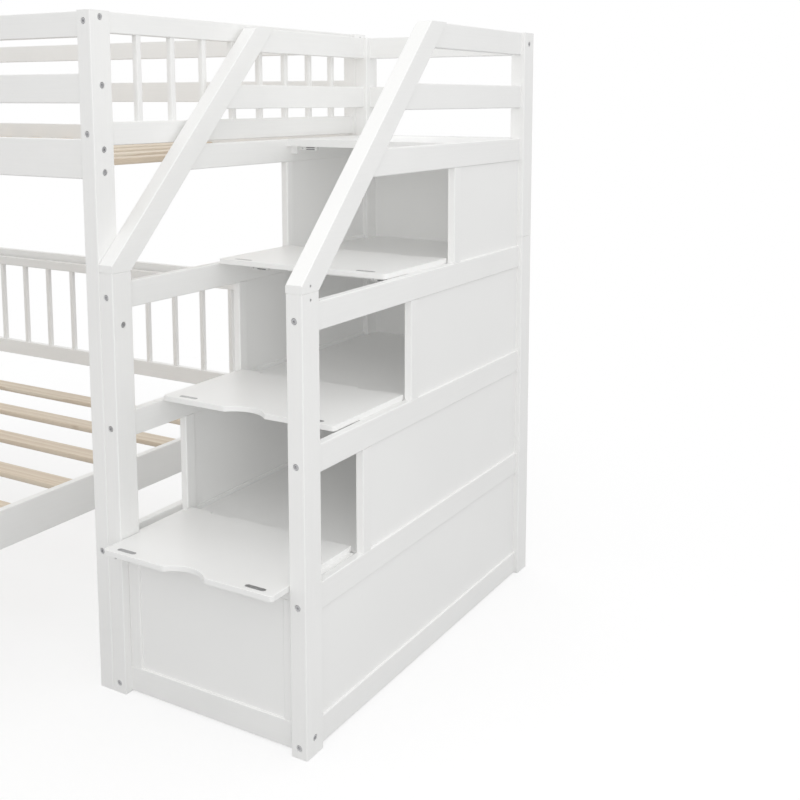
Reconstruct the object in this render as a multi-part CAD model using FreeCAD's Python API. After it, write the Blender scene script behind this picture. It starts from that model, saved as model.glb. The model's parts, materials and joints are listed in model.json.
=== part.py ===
import FreeCAD, Part
import math
import os

# L-shaped bunk bed with a storage staircase, in millimetres.
# +X runs along the upper bed towards the stairs, +Y to the back and +Z up.
# The origin is on the floor, in the middle of the whole footprint.

# Clear spaces for the mattresses and the steps
twin_clear_width = 986.0
twin_clear_length = 1905.0
full_clear_width = 1381.0
full_clear_length = 1905.0
stair_clear_width = 466.0

# Posts, and the rails centred on them
post_width = 40.0
post_depth = 59.0
bed_post_height = 1544.0
rail_thickness = 20.0
rail_height = 60.0
ease_radius = 2.5

# Staircase
foot_gap = 2.0
step_rise = 296.3
first_riser = 24.0
going = 212.0
nosing = 81.0
post_rise = 24.0
guard_rise = 285.0
handrail_nose = 18.0
handrail_top_run = 521.0
joint_groove_height = 1.6
joint_groove_depth = 2.0
stile_width = 32.0
front_top_rail_height = 30.0
panel_thickness = 10.0
back_panel_thickness = 8.0
back_panel_inset = 2.0
cleat_size = 20.0
cleat_setback = 20.0
floor_thickness = 12.0
floor_drop = 10.0
landing_thickness = 18.0
fit_gap = 0.4

# Lift-up tread lids
lid_thickness = 12.0
lid_side_gap = 2.0
lid_back_gap = 1.0
lid_corner_radius = 8.0
lid_edge_radius = 1.0
scoop_width = 122.0
scoop_depth = 24.0
scoop_lip_radius = 12.0

# Hinges on the front faces of the cross rails behind the lids
hinge_length = 60.0
hinge_inset = 66.0
hinge_setback = 5.0
hinge_notch_gap = 1.0
leaf_thickness = 1.5
leaf_reach = 22.0
leaf_top_gap = 3.0
knuckle_radius = 4.0
knuckle_gap = 0.3
pin_radius = 1.5
pin_clearance = 0.05

# Strike plates let into the lids, and the catches that hold an open lid
plate_length = 52.0
plate_width = 12.0
plate_thickness = 1.5
plate_setback = 12.0
plate_spread = 354.0
catch_depth = 12.0
lid_catch_height = 22.0
lid_catch_setback = 80.0
landing_catch_height = 10.0
landing_catch_setback = 5.0

# Upper bed
end_top_rail_height = 47.0
end_low_rail_height = 52.0
end_panel_height = 292.0
end_stretcher_bottom = 302.0
end_spindle_gap = 100.0
end_spindle_count = 8
guard_top_rail_height = 56.0
guard_mid_rail_height = 65.0
bed_side_rail_height = 88.0
bed_side_height = 366.0
guard_mid_post_width = 60.0
guard_mid_post_share = 0.42
stretcher_lap = 36.0
spindle_width = 15.0
upper_slat_drop = 50.0
upper_slat_count = 12

# Lower bed, across the upper one
lower_bed_left_share = 0.25
headboard_height = 769.0
headboard_top_rail_height = 31.0
headboard_low_rail_bottom = 401.0
headboard_low_rail_height = 52.0
headboard_spindle_gap = 83.0
headboard_spindle_count = 11
footboard_height = 400.0
lower_side_rail_bottom = 260.0
lower_side_rail_height = 98.0
lower_slat_drop = 33.0
lower_slat_head_gap = 85.0
lower_slat_foot_gap = 104.0
lower_slat_count = 9

# Pine slats and the cleats under them
slat_width = 60.0
slat_thickness = 15.0
slat_end_gap = 3.0
slat_cleat_width = 20.0
slat_cleat_height = 22.0

# Socket-head bolts, sunk below the faces of the posts, and small handrail screws
bolt_head_radius = 7.0
bolt_head_height = 4.0
bolt_sink = 0.8
bolt_radius = 3.0
bolt_bite = 34.0
bolt_clearance = 0.2
bolt_socket_radius = 3.0
bolt_socket_depth = 2.5
screw_head_radius = 3.0
screw_radius = 1.8
screw_length = 26.0
screw_offset = 14.0
tie_bolt_height_shares = (0.24, 0.88)

# Shares of a rail's height at which its bolts sit
middle_share = 0.5
foot_bolt_share = 0.35
foot_cross_bolt_share = 0.6
top_guard_bolt_share = 0.75
mid_guard_bolt_share = 0.6
side_rail_bolt_shares = (0.18, 0.75)
lower_rail_bolt_shares = (0.3, 0.7)
stretcher_tie_share = 0.2

# Places that follow from the sizes above
stair_width = stair_clear_width + 2 * post_width
frame_depth = twin_clear_width + 2 * post_depth
upper_bed_length = twin_clear_length + 2 * post_width
lower_bed_length = full_clear_length + 2 * post_width
lower_bed_width = full_clear_width + 2 * post_depth
rail_recess = (post_width - rail_thickness) / 2
deep_recess = (post_depth - rail_thickness) / 2
overall_depth = lower_bed_length + rail_thickness + deep_recess
right_x = (stair_width + upper_bed_length) / 2
bed_right_x = right_x - stair_width
stair_mid_x = right_x - stair_width / 2
bed_left_x = -right_x
back_y = overall_depth / 2
front_y = back_y - frame_depth
front_post_back_y = front_y + post_depth
rear_post_front_y = back_y - post_depth
lower_back_y = back_y - deep_recess - rail_thickness
lower_front_y = lower_back_y - lower_bed_length
lower_left_x = bed_left_x + post_width + (twin_clear_length - lower_bed_width) * lower_bed_left_share
lower_right_x = lower_left_x + lower_bed_width
rail_inner_x = right_x - rail_recess - rail_thickness
half_between_rails = rail_inner_x - stair_mid_x
between_stair_posts = (bed_right_x + post_width, right_x - post_width)
between_bed_posts = (bed_left_x + post_width, bed_right_x - post_width)
back_panel_y = back_y - back_panel_inset - back_panel_thickness
end_low_rail_bottom = bed_post_height - end_panel_height
bed_side_rail_bottom = bed_post_height - bed_side_height
bed_side_rail_top = bed_side_rail_bottom + bed_side_rail_height
back_stretcher_bottom = headboard_height - stretcher_lap

AXIS_X = FreeCAD.Vector(1, 0, 0)
AXIS_Y = FreeCAD.Vector(0, 1, 0)
AXIS_Z = FreeCAD.Vector(0, 0, 1)
STEPS = (1, 2, 3)
LANDING_LEVEL = STEPS[-1] + 1
ORDINALS = {1: "first", 2: "second", 3: "third"}

nodes = {}
fasteners = []
fastener_holes = []


def span(start, length):
    return (start, start + length)


def centred(middle, length):
    return span(middle - length / 2, length)


def rail_bottom(level):
    return foot_gap + level * step_rise


def rail_top(level):
    return rail_bottom(level) + rail_height


def riser_y(step):
    """The upright plane at the back of a step."""
    return front_y + first_riser + step * going


stair_post_height = rail_top(STEPS[-1]) + post_rise
guard_height = rail_top(LANDING_LEVEL) + guard_rise
handrail_climb = guard_height - stair_post_height - handrail_nose
handrail_slope = handrail_climb / handrail_top_run
tie_bolt_heights = [stair_post_height * share for share in tie_bolt_height_shares]


def handrail_back_y(height):
    """Where the lower edge of the sloping handrail is at a height."""
    return front_post_back_y + (height - stair_post_height) / handrail_slope


def block(x, y, z):
    """A plain block between the low and high ends of each axis."""
    corner = FreeCAD.Vector(x[0], y[0], z[0])
    return Part.makeBox(x[1] - x[0], y[1] - y[0], z[1] - z[0], corner)


def eased(solid, axis):
    """Rounds the edges that run along one axis, as sanded timber has."""
    long_edges = []
    for edge in solid.Edges:
        run = edge.Vertexes[-1].Point - edge.Vertexes[0].Point
        if run.cross(axis).Length < run.Length / 1000:
            long_edges.append(edge)
    return solid.makeFillet(ease_radius, long_edges)


def bar(x, y, z, axis):
    return eased(block(x, y, z), axis)


def prism_along_x(points, x):
    """A solid with an outline of (y, z) points, between two places along X."""
    corners = [FreeCAD.Vector(x[0], y, z) for y, z in points]
    face = Part.Face(Part.makePolygon(corners + corners[:1]))
    return face.extrude(AXIS_X * (x[1] - x[0]))


def mirrored(solid):
    """The same piece on the other side of the staircase."""
    return solid.mirror(FreeCAD.Vector(stair_mid_x, 0, 0), AXIS_X)


def add(node, *solids):
    nodes.setdefault(node, []).extend(solids)


def add_pair(right_node, left_node, solid):
    add(right_node, solid)
    add(left_node, mirrored(solid))


def fastener(point, direction, length, head_radius, radius):
    """A socket-head bolt or screw, its head just under the face at a point, and its hole."""
    seat = point + direction * bolt_sink
    head = Part.makeCylinder(head_radius, bolt_head_height, seat, direction)
    shank = Part.makeCylinder(radius, length - bolt_sink, seat, direction)
    socket_radius = bolt_socket_radius * head_radius / bolt_head_radius
    socket = Part.makeCylinder(socket_radius, bolt_socket_depth, seat, direction)
    fasteners.append(head.fuse(shank).cut(socket))
    mouth_depth = bolt_sink + bolt_head_height
    mouth = Part.makeCylinder(head_radius + bolt_clearance, mouth_depth, point, direction)
    bore = Part.makeCylinder(radius + bolt_clearance, length + bolt_clearance, point, direction)
    fastener_holes.append(mouth.fuse(bore))


def bolt(x, y, z, direction, grip):
    """A bolt through a post or rail of the given grip into the piece behind it."""
    fastener(FreeCAD.Vector(x, y, z), direction, grip + bolt_bite, bolt_head_radius, bolt_radius)


def drill():
    """Cuts every fastener's hole in the pieces that it passes through."""
    for solids in nodes.values():
        for index, solid in enumerate(solids):
            holes = [hole for hole in fastener_holes if hole.BoundBox.intersect(solid.BoundBox)]
            if holes:
                solids[index] = solid.cut(holes).Solids[0]


def grooved(solid, x, y):
    """Cuts a shallow groove round a piece where it stands on a stair post, as the joint line shows."""
    z = span(stair_post_height, joint_groove_height)
    depth = joint_groove_depth
    outside = block((x[0] - depth, x[1] + depth), (y[0] - depth, y[1] + depth), z)
    core = block((x[0] + depth, x[1] - depth), (y[0] + depth, y[1] - depth), z)
    return solid.cut(outside.cut(core))


def stair_posts():
    x = span(right_x - post_width, post_width)
    rear = span(rear_post_front_y, post_depth)
    front = bar(x, span(front_y, post_depth), (0, stair_post_height), AXIS_Z)
    add_pair("stair_front_right_post", "stair_front_left_post", front)
    lower = bar(x, rear, (0, stair_post_height), AXIS_Z)
    add("stair_rear_lower_posts", lower, mirrored(lower))
    upper = grooved(bar(x, rear, (stair_post_height, guard_height), AXIS_Z), x, rear)
    add("stair_rear_upper_posts", upper, mirrored(upper))


def stair_ties():
    """Bolts that fasten the staircase's left posts to the upper bed's right posts."""
    for y in (front_y + post_depth / 2, back_y - post_depth / 2):
        for height in tie_bolt_heights:
            bolt(bed_right_x + post_width, y, height, -AXIS_X, post_width)


def handrails():
    outline = [
        (front_y, stair_post_height),
        (front_post_back_y, stair_post_height),
        (handrail_back_y(guard_height), guard_height),
        (front_y + handrail_top_run, guard_height),
        (front_y, stair_post_height + handrail_nose),
    ]
    slope = FreeCAD.Vector(0, handrail_top_run, handrail_climb).normalize()
    x = span(right_x - post_width, post_width)
    rail = eased(prism_along_x(outline, x), slope)
    add_pair("right_handrail", "left_handrail", grooved(rail, x, span(front_y, post_depth)))
    for height in (stair_post_height - screw_offset, stair_post_height + screw_offset):
        point = FreeCAD.Vector(right_x, front_y + post_depth / 2, height)
        fastener(point, -AXIS_X, screw_length, screw_head_radius, screw_radius)


def rail_behind_handrail(bottom):
    """A side rail cut to the slope of the handrail, and run back to the rear post."""
    top = bottom + rail_height
    outline = [
        (handrail_back_y(bottom), bottom),
        (rear_post_front_y, bottom),
        (rear_post_front_y, top),
        (handrail_back_y(top), top),
    ]
    return eased(prism_along_x(outline, span(rail_inner_x, rail_thickness)), AXIS_Y)


def landing_guards():
    """Two rails on the right, left and back of the landing, evenly spaced above it."""
    top_rail_bottom = guard_height - rail_height
    mid_rail_bottom = (rail_top(LANDING_LEVEL) + top_rail_bottom - rail_height) / 2
    back = centred(back_y - post_depth / 2, rail_thickness)
    for bottom in (mid_rail_bottom, top_rail_bottom):
        add_pair("right_guard_rails", "left_guard_rails", rail_behind_handrail(bottom))
        add("back_guard_rails", bar(between_stair_posts, back, span(bottom, rail_height), AXIS_X))
    bolt_height = top_rail_bottom + rail_height * middle_share
    bolt(right_x, back_y - post_depth / 2, bolt_height, -AXIS_X, post_width)


def stair_side_rails():
    x = span(rail_inner_x, rail_thickness)
    run = (front_post_back_y, rear_post_front_y)
    for level in range(LANDING_LEVEL):
        rail = bar(x, run, span(rail_bottom(level), rail_height), AXIS_Y)
        add_pair("right_side_rails", "left_side_rails", rail)
        share = middle_share if level else foot_bolt_share
        for centre in (right_x - post_width / 2, bed_right_x + post_width / 2):
            bolt(centre, front_y, rail_bottom(level) + rail_height * share, AXIS_Y, post_depth)
    rail = rail_behind_handrail(rail_bottom(LANDING_LEVEL))
    add_pair("right_side_rails", "left_side_rails", rail)


def front_top_rail_bottom():
    return rail_top(1) - front_top_rail_height


def stair_cross_rails():
    """Rails between the posts at the front and back, and those that the lids are hinged to."""
    front = centred(front_y + post_depth / 2, rail_thickness)
    back = centred(back_y - post_depth / 2, rail_thickness)
    for y, level in ((front, 0), (back, 0), (back, LANDING_LEVEL)):
        rail = bar(between_stair_posts, y, span(rail_bottom(level), rail_height), AXIS_X)
        add("stair_cross_rails", rail)
    add("stair_cross_rails", bar(between_stair_posts, front, (front_top_rail_bottom(), rail_top(1)), AXIS_X))
    bolt_height = rail_bottom(0) + rail_height * foot_cross_bolt_share
    bolt(right_x, front_y + post_depth / 2, bolt_height, -AXIS_X, post_width)
    x = centred(stair_mid_x, 2 * half_between_rails)
    for step in STEPS:
        z = span(rail_bottom(step), rail_height)
        add("hinge_rails", block(x, span(riser_y(step), rail_thickness), z))


def side_panels():
    """Thin panels between the side rails, with a stile at the open front of each cubby."""
    face = centred(rail_inner_x + rail_thickness / 2, panel_thickness)
    for level in range(LANDING_LEVEL):
        z = (rail_top(level), rail_bottom(level + 1))
        panel_front = front_post_back_y
        if level:
            panel_front = riser_y(level) + stile_width
            stile = bar(span(rail_inner_x, rail_thickness), (riser_y(level), panel_front), z, AXIS_Z)
            add_pair("right_stiles", "left_stiles", stile)
        panel = block(face, (panel_front, rear_post_front_y), z)
        add_pair("right_panels", "left_panels", panel)


def front_and_back_panels():
    y = centred(front_y + post_depth / 2, rail_thickness)
    z = (rail_top(0), front_top_rail_bottom())
    stile = bar(span(between_stair_posts[1] - stile_width, stile_width), y, z, AXIS_Z)
    add("front_stiles", stile, mirrored(stile))
    x = (between_stair_posts[0] + stile_width, between_stair_posts[1] - stile_width)
    add("front_panel", block(x, centred(front_y + post_depth / 2, panel_thickness), z))
    back = span(back_panel_y, back_panel_thickness)
    add("stair_back_panel", block(between_stair_posts, back, (rail_bottom(0), rail_top(LANDING_LEVEL))))


def floor_board(front, back, level):
    """A board between the side rails, cut round the posts that it passes."""
    z = span(rail_top(level) - floor_drop - floor_thickness, floor_thickness)
    board = block(centred(stair_mid_x, 2 * (half_between_rails - fit_gap)), (front, back), z)
    post_x = span(right_x - post_width - fit_gap, post_width)
    for y in (span(front_y, post_depth + fit_gap), span(rear_post_front_y - fit_gap, post_depth)):
        corner = block(post_x, y, z)
        board = board.cut([corner, mirrored(corner)])
    return board


def stair_floors():
    front_rail_back = front_y + (post_depth + rail_thickness) / 2
    back_rail_front = back_y - (post_depth + rail_thickness) / 2
    add("box_floor", floor_board(front_rail_back, back_rail_front, 0))
    names = {1: "lower_cubby_floor", 2: "middle_cubby_floor", 3: "upper_cubby_floor"}
    for step in STEPS:
        add(names[step], floor_board(riser_y(step) + rail_thickness, back_panel_y, step))
    x = centred(stair_mid_x, 2 * half_between_rails)
    z = (rail_top(LANDING_LEVEL) - landing_thickness, rail_top(LANDING_LEVEL))
    add("landing", block(x, (riser_y(STEPS[-1]), rear_post_front_y), z))


def stair_cleats():
    """Square cleats on the inner faces of the side rails, under the floors, lids and landing.

    Those under the lids start behind the place where the lid below swings up.
    """
    x = span(rail_inner_x - cleat_size, cleat_size)
    runs = [(front_post_back_y, rear_post_front_y, rail_top(0) - floor_drop - floor_thickness)]
    for step in STEPS:
        swing_end = riser_y(step - 1) + cleat_setback
        runs.append((max(front_post_back_y, swing_end), hinge_seat(step), rail_top(step)))
        floor_bottom = rail_top(step) - floor_drop - floor_thickness
        runs.append((riser_y(step) + rail_thickness, rear_post_front_y, floor_bottom))
    landing_bottom = rail_top(LANDING_LEVEL) - landing_thickness
    runs.append((riser_y(STEPS[-1]) + cleat_setback, rear_post_front_y, landing_bottom))
    for front, back, top in runs:
        cleat = block(x, (front, back), (top - cleat_size, top))
        add("stair_cleats", cleat, mirrored(cleat))


def lid_front(step):
    return riser_y(step - 1) - nosing


def lid_back(step):
    return riser_y(step) - lid_back_gap


def hinge_seat(step):
    """The bottom of a lid's hinge notches, in front of knuckles that touch the riser plane."""
    return riser_y(step) - knuckle_radius - hinge_setback


def lid_half_width(step):
    """The first lid fits between the front posts, and the others between the side rails."""
    clear = stair_clear_width / 2 if step == STEPS[0] else half_between_rails
    return clear - lid_side_gap


def hinge_starts(step):
    half = lid_half_width(step)
    return (stair_mid_x - half + hinge_inset, stair_mid_x + half - hinge_inset - hinge_length)


def scoop_edges(at, front):
    """The finger scoop in a lid's front edge, from right to left, with rounded lips."""
    reach = scoop_width / 2
    lip = scoop_lip_radius
    radius = (reach ** 2 + scoop_depth ** 2) / (2 * scoop_depth) - lip
    centre_y = front + scoop_depth - radius
    lip_y = front + lip
    turn = math.atan2(reach, lip_y - centre_y)
    meet_x = radius * math.sin(turn)
    meet_y = centre_y + radius * math.cos(turn)
    bend_x = reach - lip * math.sin(turn / 2)
    bend_y = lip_y - lip * math.cos(turn / 2)
    return [
        Part.Arc(at(reach, front), at(bend_x, bend_y), at(meet_x, meet_y)),
        Part.Arc(at(meet_x, meet_y), at(0, front + scoop_depth), at(-meet_x, meet_y)),
        Part.Arc(at(-meet_x, meet_y), at(-bend_x, bend_y), at(-reach, front)),
    ]


def lid_board(step):
    """A tread lid: notched for its hinges and rounded in front, where the lower two have a scoop."""
    half = lid_half_width(step)
    front = lid_front(step)
    back = lid_back(step)
    corner = lid_corner_radius
    inset = corner * (1 - math.sqrt(1 / 2))

    def at(x, y):
        return FreeCAD.Vector(stair_mid_x + x, y, rail_top(step))

    edges = [
        Part.LineSegment(at(-half, front + corner), at(-half, back)),
        Part.LineSegment(at(-half, back), at(half, back)),
        Part.LineSegment(at(half, back), at(half, front + corner)),
        Part.Arc(at(half, front + corner), at(half - inset, front + inset), at(half - corner, front)),
    ]
    if step == STEPS[-1]:
        edges.append(Part.LineSegment(at(half - corner, front), at(corner - half, front)))
    else:
        reach = scoop_width / 2
        edges.append(Part.LineSegment(at(half - corner, front), at(reach, front)))
        edges += scoop_edges(at, front)
        edges.append(Part.LineSegment(at(-reach, front), at(corner - half, front)))
    left_inset = at(inset - half, front + inset)
    edges.append(Part.Arc(at(corner - half, front), left_inset, at(-half, front + corner)))
    outline = Part.Wire([edge.toShape() for edge in edges])
    board = Part.Face(outline).extrude(AXIS_Z * lid_thickness)
    top = rail_top(step) + lid_thickness
    rim = [edge for edge in board.Edges if min(corner.Z for corner in edge.Vertexes) > top - lid_edge_radius]
    board = board.makeFillet(lid_edge_radius, rim)
    notches = []
    for start in hinge_starts(step):
        x = (start - hinge_notch_gap, start + hinge_length + hinge_notch_gap)
        notches.append(block(x, (hinge_seat(step), riser_y(step)), (rail_top(step), top)))
    return board.cut(notches)


def plate_centres():
    return (stair_mid_x - plate_spread / 2, stair_mid_x + plate_spread / 2)


def strike_plate(centre, step):
    """A steel plate with round ends, let into the top of a lid."""
    top = rail_top(step) + lid_thickness
    radius = plate_width / 2
    y = span(lid_front(step) + plate_setback, plate_width)
    straight = centred(centre, plate_length - plate_width)
    plate = block(straight, y, (top - plate_thickness, top))
    ends = []
    for x in straight:
        base = FreeCAD.Vector(x, y[0] + radius, top - plate_thickness)
        ends.append(Part.makeCylinder(radius, plate_thickness, base))
    return plate.fuse(ends).removeSplitter()


def tread_lids():
    for step in STEPS:
        plates = [strike_plate(centre, step) for centre in plate_centres()]
        add(ORDINALS[step] + "_tread_lid", lid_board(step).cut(plates))
        add(ORDINALS[step] + "_lid_plates", *plates)


def magnetic_catches():
    """Catches under the board above each lid, where the plates of the upright lid come."""
    landing_front = riser_y(STEPS[-1]) + landing_catch_setback
    landing_bottom = rail_top(LANDING_LEVEL) - landing_thickness
    places = [
        ("second_lid_catches", lid_front(2) + lid_catch_setback, rail_top(2), lid_catch_height),
        ("third_lid_catches", lid_front(3) + lid_catch_setback, rail_top(3), lid_catch_height),
        ("landing_catches", landing_front, landing_bottom, landing_catch_height),
    ]
    for node, front, top, height in places:
        for centre in plate_centres():
            x = centred(centre, plate_length)
            add(node, block(x, span(front, catch_depth), (top - height, top)))


def hinge(start, step):
    """One butt hinge on the rail's front face: the fixed leaf, the lid's leaf and the pin."""
    y = hinge_seat(step) + hinge_setback
    z = rail_top(step) + knuckle_radius + knuckle_gap
    third = hinge_length / 3
    middle = (start + third + knuckle_gap, start + 2 * third - knuckle_gap)

    def rod(x, radius):
        return Part.makeCylinder(radius, x[1] - x[0], FreeCAD.Vector(x[0], y, z), AXIS_X)

    whole = span(start, hinge_length)
    bore = rod(whole, pin_radius + pin_clearance)
    fixed_y = (riser_y(step) - leaf_thickness, riser_y(step))
    leaf_bottom = rail_top(step) - leaf_reach
    fixed = block(whole, fixed_y, (leaf_bottom, rail_top(step)))
    for x in (span(start, third), span(start + 2 * third, third)):
        neck = block(x, fixed_y, (leaf_bottom, z))
        fixed = fixed.fuse([neck, rod(x, knuckle_radius)])
    upright_z = (rail_top(step) + knuckle_gap, rail_top(step) + lid_thickness - leaf_top_gap)
    moving = block(middle, span(hinge_seat(step), leaf_thickness), upright_z)
    web = block(middle, (hinge_seat(step), y), centred(z, leaf_thickness))
    moving = moving.fuse([web, rod(middle, knuckle_radius)])
    return fixed.cut(bore).removeSplitter(), moving.cut(bore).removeSplitter(), rod(whole, pin_radius)


def hinges():
    for step in STEPS:
        for start in hinge_starts(step):
            fixed, moving, pin = hinge(start, step)
            add("fixed_hinge_leaves", fixed)
            add(ORDINALS[step] + "_lid_hinge_leaves", moving)
            add("hinge_pins", pin)


def bed_posts():
    for side, left in (("right", between_bed_posts[1]), ("left", bed_left_x)):
        for row, front in (("front", front_y), ("back", rear_post_front_y)):
            post = bar(span(left, post_width), span(front, post_depth), (0, bed_post_height), AXIS_Z)
            add(row + "_" + side + "_bed_post", post)


def spindles(node, along_y, centre, ends, gap, count, z):
    """Evenly spaced square spindles between two posts, a gap in from each."""
    pitch = (ends[1] - ends[0] - 2 * gap) / (count - 1)
    for index in range(count):
        place = centred(ends[0] + gap + index * pitch, spindle_width)
        across = centred(centre, spindle_width)
        x, y = (across, place) if along_y else (place, across)
        add(node, bar(x, y, z, AXIS_Z))


def bed_ends():
    """The upper bed's two ends: a spindled panel, and a stretcher near the floor."""
    run = (front_post_back_y, rear_post_front_y)
    top_rail_bottom = bed_post_height - end_top_rail_height
    low_rail_top = end_low_rail_bottom + end_low_rail_height
    rails = (
        (end_stretcher_bottom, rail_height),
        (end_low_rail_bottom, end_low_rail_height),
        (top_rail_bottom, end_top_rail_height),
    )
    for side, left in (("right", between_bed_posts[1]), ("left", bed_left_x)):
        centre = left + post_width / 2
        for bottom, height in rails:
            rail = bar(centred(centre, rail_thickness), run, span(bottom, height), AXIS_Y)
            add(side + "_end_rails", rail)
            bolt_height = bottom + height * middle_share
            bolt(centre, front_y, bolt_height, AXIS_Y, post_depth)
            bolt(centre, back_y, bolt_height, -AXIS_Y, post_depth)
        z = (low_rail_top, top_rail_bottom)
        spindles(side + "_end_spindles", True, centre, run, end_spindle_gap, end_spindle_count, z)


def bed_sides():
    """The upper bed's long sides: a deep side rail and two guard rails with a mid post."""
    top_rail_bottom = bed_post_height - guard_top_rail_height
    mid_rail_bottom = (bed_side_rail_top + top_rail_bottom - guard_mid_rail_height) / 2
    rails = (
        (bed_side_rail_bottom, bed_side_rail_height, side_rail_bolt_shares),
        (mid_rail_bottom, guard_mid_rail_height, (mid_guard_bolt_share,)),
        (top_rail_bottom, guard_top_rail_height, (top_guard_bolt_share,)),
    )
    mid_post_x = between_bed_posts[0] + twin_clear_length * guard_mid_post_share
    mid_post_z = (bed_side_rail_bottom, bed_post_height)
    rows = (("front", front_y, front_y), ("back", rear_post_front_y, back_y - deep_recess))
    for row, front, outside in rows:
        y = span(front + deep_recess, rail_thickness)
        for bottom, height, shares in rails:
            add(row + "_bed_rails", bar(between_bed_posts, y, span(bottom, height), AXIS_X))
            for share in shares:
                bolt(bed_right_x, front + post_depth / 2, bottom + height * share, -AXIS_X, post_width)
                bolt(bed_left_x, front + post_depth / 2, bottom + height * share, AXIS_X, post_width)
        mid_post = bar(span(mid_post_x, guard_mid_post_width), span(outside, deep_recess), mid_post_z, AXIS_Z)
        add("guard_mid_posts", mid_post)
    back = span(rear_post_front_y + deep_recess, rail_thickness)
    stretcher = bar(between_bed_posts, back, span(back_stretcher_bottom, rail_height), AXIS_X)
    add("back_bed_rails", stretcher)


def upper_slats():
    inner = (front_y + deep_recess + rail_thickness, back_y - deep_recess - rail_thickness)
    top = bed_side_rail_top - upper_slat_drop
    bottom = top - slat_thickness
    cleat_z = (bottom - slat_cleat_height, bottom)
    for front in (inner[0], inner[1] - slat_cleat_width):
        add("slat_cleats", block(between_bed_posts, span(front, slat_cleat_width), cleat_z))
    pitch = twin_clear_length / upper_slat_count
    y = (inner[0] + slat_end_gap, inner[1] - slat_end_gap)
    for index in range(upper_slat_count):
        x = centred(between_bed_posts[0] + (index + 1 / 2) * pitch, slat_width)
        add("upper_slats", bar(x, y, (bottom, top), AXIS_Y))


def headboard(across):
    y = centred(lower_back_y - post_width / 2, rail_thickness)
    low_rail_top = headboard_low_rail_bottom + headboard_low_rail_height
    top_rail_bottom = headboard_height - headboard_top_rail_height
    add("headboard_rails", bar(across, y, (headboard_low_rail_bottom, low_rail_top), AXIS_X))
    add("headboard_rails", bar(across, y, (top_rail_bottom, headboard_height), AXIS_X))
    z = (low_rail_top, top_rail_bottom)
    centre = lower_back_y - post_width / 2
    count = headboard_spindle_count
    spindles("headboard_spindles", False, centre, across, headboard_spindle_gap, count, z)


def lower_bed():
    across = (lower_left_x + post_depth, lower_right_x - post_depth)
    run = (lower_front_y + post_width, lower_back_y - post_width)
    side_z = span(lower_side_rail_bottom, lower_side_rail_height)
    tie_height = back_stretcher_bottom + rail_height * stretcher_tie_share
    for left in (lower_left_x, lower_right_x - post_depth):
        x = span(left, post_depth)
        centre = left + post_depth / 2
        head_post = bar(x, span(run[1], post_width), (0, headboard_height), AXIS_Z)
        foot_post = bar(x, span(lower_front_y, post_width), (0, footboard_height), AXIS_Z)
        add("lower_bed_posts", head_post, foot_post)
        add("lower_side_rails", bar(centred(centre, rail_thickness), run, side_z, AXIS_Y))
        for share in lower_rail_bolt_shares:
            height = lower_side_rail_bottom + lower_side_rail_height * share
            bolt(centre, lower_front_y, height, AXIS_Y, post_width)
            bolt(centre, lower_back_y, height, -AXIS_Y, post_width)
        bolt(centre, lower_back_y + rail_thickness, tie_height, -AXIS_Y, rail_thickness)
    headboard(across)
    foot_y = centred(lower_front_y + post_width / 2, rail_thickness)
    add("footboard_rail", bar(across, foot_y, side_z, AXIS_X))
    lower_slats(run, side_z[1] - lower_slat_drop)


def lower_slats(run, top):
    inset = deep_recess + rail_thickness
    inner = (lower_left_x + inset, lower_right_x - inset)
    bottom = top - slat_thickness
    cleat_z = (bottom - slat_cleat_height, bottom)
    for left in (inner[0], inner[1] - slat_cleat_width):
        add("slat_cleats", block(span(left, slat_cleat_width), run, cleat_z))
    spread = full_clear_length - lower_slat_head_gap - lower_slat_foot_gap - slat_width
    pitch = spread / (lower_slat_count - 1)
    x = (inner[0] + slat_end_gap, inner[1] - slat_end_gap)
    for index in range(lower_slat_count):
        y = span(run[0] + lower_slat_foot_gap + index * pitch, slat_width)
        add("lower_slats", bar(x, y, (bottom, top), AXIS_X))


stair_posts()
stair_ties()
handrails()
landing_guards()
stair_side_rails()
stair_cross_rails()
side_panels()
front_and_back_panels()
stair_floors()
stair_cleats()
tread_lids()
magnetic_catches()
hinges()
bed_posts()
bed_ends()
bed_sides()
upper_slats()
lower_bed()
drill()
add("assembly_bolts", *fasteners)

os.makedirs("parts", exist_ok=True)
for node, solids in nodes.items():
    shape = solids[0] if len(solids) == 1 else Part.makeCompound(solids)
    shape.exportStep("parts/" + node + ".step")
print(len(nodes), "nodes,", sum(len(solids) for solids in nodes.values()), "solids")
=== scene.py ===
"""Dresses a white bunk bed with a storage staircase: paint, pine slats, fasteners, catches and a studio."""

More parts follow.
